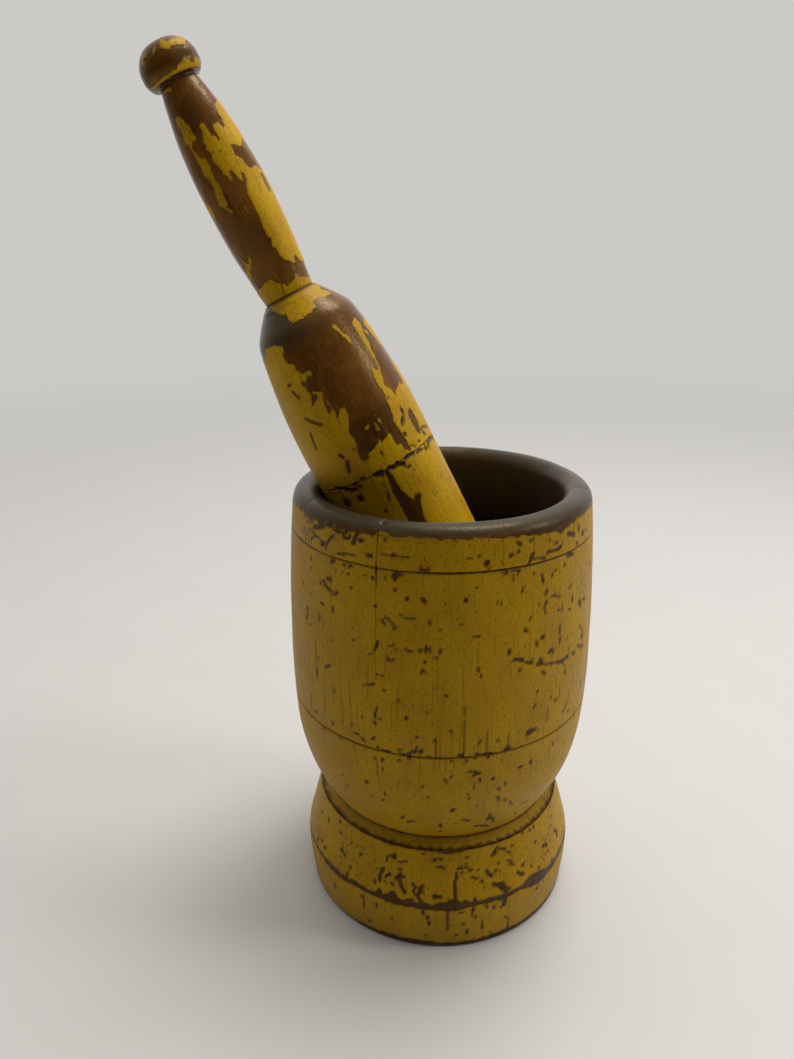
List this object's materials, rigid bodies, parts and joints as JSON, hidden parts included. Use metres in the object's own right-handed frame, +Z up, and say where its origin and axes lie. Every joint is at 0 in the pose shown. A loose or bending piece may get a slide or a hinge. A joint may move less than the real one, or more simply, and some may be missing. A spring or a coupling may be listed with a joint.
{
  "type": "mortar and pestle",
  "caption": "Turned and painted wooden mortar on a flared foot, with a long wooden pestle leaning in its bowl.",
  "frame": {"origin": "centre of the flat underside of the mortar's foot", "axes": "+Z up along the mortar's axis, the pestle leans towards -X in the plane Y = 0, and -Y faces the viewer"},
  "size_m": [0.1666, 0.1254, 0.3376],
  "materials": {
    "mortar_paint": "mustard yellow paint on dark brown turned hardwood, satin, worn through at the rim, arrises and scribed lines",
    "pestle_paint": "mustard yellow paint on brown turned hardwood, satin, worn away over the shoulder and grip"
  },
  "bodies": {
    "mortar": {"mortar": "mortar_paint"},
    "pestle": {"pestle_head": "pestle_paint", "pestle_handle": "pestle_paint"}
  },
  "joints": [
    {"name": "pestle_lift", "type": "slide", "parent": "mortar", "child": "pestle", "axis": [0, 0, 1], "range_m": [0, 0.13]}
  ]
}
